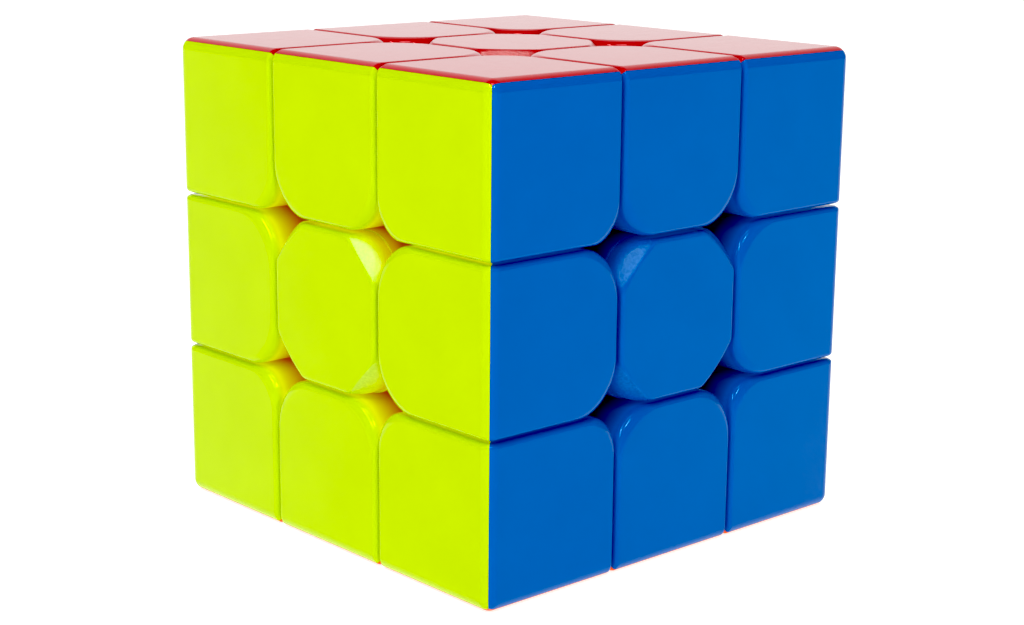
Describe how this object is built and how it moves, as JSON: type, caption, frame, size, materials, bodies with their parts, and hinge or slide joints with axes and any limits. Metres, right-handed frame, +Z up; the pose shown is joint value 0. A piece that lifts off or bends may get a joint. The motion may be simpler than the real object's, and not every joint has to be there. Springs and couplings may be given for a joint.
{
  "type": "twisty puzzle cube",
  "caption": "Stickerless twisty puzzle cube with turning layers, octagonal sprung centres, rounded tiles and adjustable tension screws.",
  "frame": {"origin": "centre of the resting face, under the core's centre", "axes": "+Z up through the red face and the vertical turning axis, +Y out of the green back face, +X out of the white right face; blue faces -Y and yellow faces -X"},
  "size_m": [0.056, 0.056, 0.056],
  "materials": {
    "blue_plastic": "gloss",
    "green_plastic": "gloss",
    "yellow_plastic": "gloss",
    "white_plastic": "gloss",
    "red_plastic": "gloss",
    "orange_plastic": "gloss",
    "dark_plastic": "matte",
    "steel": "bright"
  },
  "bodies": {
    "core_and_middle_layer": {"core": "dark_plastic", "middle_edge_feet": "dark_plastic", "middle_blue_edges": "blue_plastic", "middle_green_edges": "green_plastic", "middle_yellow_edges": "yellow_plastic", "middle_white_edges": "white_plastic"},
    "top_layer": {"top_corner_feet": "dark_plastic", "top_edge_feet": "dark_plastic", "top_red_corners": "red_plastic", "top_red_edges": "red_plastic", "top_blue_corners": "blue_plastic", "top_blue_edge": "blue_plastic", "top_green_corners": "green_plastic", "top_green_edge": "green_plastic", "top_yellow_corners": "yellow_plastic", "top_yellow_edge": "yellow_plastic", "top_white_corners": "white_plastic", "top_white_edge": "white_plastic"},
    "bottom_layer": {"bottom_corner_feet": "dark_plastic", "bottom_edge_feet": "dark_plastic", "bottom_orange_corners": "orange_plastic", "bottom_orange_edges": "orange_plastic", "bottom_blue_corners": "blue_plastic", "bottom_blue_edge": "blue_plastic", "bottom_green_corners": "green_plastic", "bottom_green_edge": "green_plastic", "bottom_yellow_corners": "yellow_plastic", "bottom_yellow_edge": "yellow_plastic", "bottom_white_corners": "white_plastic", "bottom_white_edge": "white_plastic"},
    "front_centre": {"front_centre_base": "blue_plastic"},
    "front_cap": {"front_centre_cap": "blue_plastic"},
    "front_washer": {"front_washer": "steel", "front_spring": "steel"},
    "front_screw": {"front_screw": "steel"},
    "back_centre": {"back_centre_base": "green_plastic"},
    "back_cap": {"back_centre_cap": "green_plastic"},
    "back_washer": {"back_washer": "steel", "back_spring": "steel"},
    "back_screw": {"back_screw": "steel"},
    "left_centre": {"left_centre_base": "yellow_plastic"},
    "left_cap": {"left_centre_cap": "yellow_plastic"},
    "left_washer": {"left_washer": "steel", "left_spring": "steel"},
    "left_screw": {"left_screw": "steel"},
    "right_centre": {"right_centre_base": "white_plastic"},
    "right_cap": {"right_centre_cap": "white_plastic"},
    "right_washer": {"right_washer": "steel", "right_spring": "steel"},
    "right_screw": {"right_screw": "steel"},
    "top_centre": {"top_centre_base": "red_plastic"},
    "top_cap": {"top_centre_cap": "red_plastic"},
    "top_washer": {"top_washer": "steel", "top_spring": "steel"},
    "top_screw": {"top_screw": "steel"},
    "bottom_centre": {"bottom_centre_base": "orange_plastic"},
    "bottom_cap": {"bottom_centre_cap": "orange_plastic"},
    "bottom_washer": {"bottom_washer": "steel", "bottom_spring": "steel"},
    "bottom_screw": {"bottom_screw": "steel"}
  },
  "joints": [
    {"name": "top_layer_turn", "type": "hinge", "parent": "core_and_middle_layer", "child": "top_layer", "pos_m": [0, 0, 0.028], "axis": [0, 0, 1], "continuous": true},
    {"name": "bottom_layer_turn", "type": "hinge", "parent": "core_and_middle_layer", "child": "bottom_layer", "pos_m": [0, 0, 0.028], "axis": [0, 0, -1], "continuous": true},
    {"name": "front_centre_float", "type": "slide", "parent": "core_and_middle_layer", "child": "front_centre", "axis": [0, -1, 0], "range_m": [0, 0.0006], "stiffness_N_per_m": 1000, "springref_m": -0.0015, "deforming": ["front_spring"]},
    {"name": "front_cap_release", "type": "slide", "parent": "front_centre", "child": "front_cap", "axis": [0, -1, 0], "range_m": [0, 0.01]},
    {"name": "front_washer_travel", "type": "slide", "parent": "core_and_middle_layer", "child": "front_washer", "axis": [0, -1, 0], "range_m": [-0.0007, 0.0007], "deforming": ["front_spring"]},
    {"name": "front_screw_turn", "type": "hinge", "parent": "front_washer", "child": "front_screw", "pos_m": [0, 0, 0.028], "axis": [0, -1, 0], "range_deg": [-360.05, 360.05]},
    {"name": "back_centre_float", "type": "slide", "parent": "core_and_middle_layer", "child": "back_centre", "axis": [0, 1, 0], "range_m": [0, 0.0006], "stiffness_N_per_m": 1000, "springref_m": -0.0015, "deforming": ["back_spring"]},
    {"name": "back_cap_release", "type": "slide", "parent": "back_centre", "child": "back_cap", "axis": [0, 1, 0], "range_m": [0, 0.01]},
    {"name": "back_washer_travel", "type": "slide", "parent": "core_and_middle_layer", "child": "back_washer", "axis": [0, 1, 0], "range_m": [-0.0007, 0.0007], "deforming": ["back_spring"]},
    {"name": "back_screw_turn", "type": "hinge", "parent": "back_washer", "child": "back_screw", "pos_m": [0, 0, 0.028], "axis": [0, 1, 0], "range_deg": [-360.05, 360.05]},
    {"name": "left_centre_float", "type": "slide", "parent": "core_and_middle_layer", "child": "left_centre", "axis": [-1, 0, 0], "range_m": [0, 0.0006], "stiffness_N_per_m": 1000, "springref_m": -0.0015, "deforming": ["left_spring"]},
    {"name": "left_cap_release", "type": "slide", "parent": "left_centre", "child": "left_cap", "axis": [-1, 0, 0], "range_m": [0, 0.01]},
    {"name": "left_washer_travel", "type": "slide", "parent": "core_and_middle_layer", "child": "left_washer", "axis": [-1, 0, 0], "range_m": [-0.0007, 0.0007], "deforming": ["left_spring"]},
    {"name": "left_screw_turn", "type": "hinge", "parent": "left_washer", "child": "left_screw", "pos_m": [0, 0, 0.028], "axis": [-1, 0, 0], "range_deg": [-360.05, 360.05]},
    {"name": "right_centre_float", "type": "slide", "parent": "core_and_middle_layer", "child": "right_centre", "axis": [1, 0, 0], "range_m": [0, 0.0006], "stiffness_N_per_m": 1000, "springref_m": -0.0015, "deforming": ["right_spring"]},
    {"name": "right_cap_release", "type": "slide", "parent": "right_centre", "child": "right_cap", "axis": [1, 0, 0], "range_m": [0, 0.01]},
    {"name": "right_washer_travel", "type": "slide", "parent": "core_and_middle_layer", "child": "right_washer", "axis": [1, 0, 0], "range_m": [-0.0007, 0.0007], "deforming": ["right_spring"]},
    {"name": "right_screw_turn", "type": "hinge", "parent": "right_washer", "child": "right_screw", "pos_m": [0, 0, 0.028], "axis": [1, 0, 0], "range_deg": [-360.05, 360.05]},
    {"name": "top_centre_float", "type": "slide", "parent": "top_layer", "child": "top_centre", "axis": [0, 0, 1], "range_m": [0, 0.0006], "stiffness_N_per_m": 1000, "springref_m": -0.0015, "deforming": ["top_spring"]},
    {"name": "top_cap_release", "type": "slide", "parent": "top_centre", "child": "top_cap", "axis": [0, 0, 1], "range_m": [0, 0.01]},
    {"name": "top_washer_travel", "type": "slide", "parent": "core_and_middle_layer", "child": "top_washer", "axis": [0, 0, 1], "range_m": [-0.0007, 0.0007], "deforming": ["top_spring"]},
    {"name": "top_screw_turn", "type": "hinge", "parent": "top_washer", "child": "top_screw", "pos_m": [0, 0, 0.028], "axis": [0, 0, 1], "range_deg": [-360.05, 360.05]},
    {"name": "bottom_centre_float", "type": "slide", "parent": "bottom_layer", "child": "bottom_centre", "axis": [0, 0, -1], "range_m": [0, 0.0006], "stiffness_N_per_m": 1000, "springref_m": -0.0015, "deforming": ["bottom_spring"]},
    {"name": "bottom_cap_release", "type": "slide", "parent": "bottom_centre", "child": "bottom_cap", "axis": [0, 0, -1], "range_m": [0, 0.01]},
    {"name": "bottom_washer_travel", "type": "slide", "parent": "core_and_middle_layer", "child": "bottom_washer", "axis": [0, 0, -1], "range_m": [-0.0007, 0.0007], "deforming": ["bottom_spring"]},
    {"name": "bottom_screw_turn", "type": "hinge", "parent": "bottom_washer", "child": "bottom_screw", "pos_m": [0, 0, 0.028], "axis": [0, 0, -1], "range_deg": [-360.05, 360.05]}
  ],
  "couplings": [
    {"joint": "front_screw_turn", "follows": "front_washer_travel", "rad_per_m": 8976},
    {"joint": "back_screw_turn", "follows": "back_washer_travel", "rad_per_m": 8976},
    {"joint": "left_screw_turn", "follows": "left_washer_travel", "rad_per_m": 8976},
    {"joint": "right_screw_turn", "follows": "right_washer_travel", "rad_per_m": 8976},
    {"joint": "top_screw_turn", "follows": "top_washer_travel", "rad_per_m": 8976},
    {"joint": "bottom_screw_turn", "follows": "bottom_washer_travel", "rad_per_m": 8976}
  ]
}
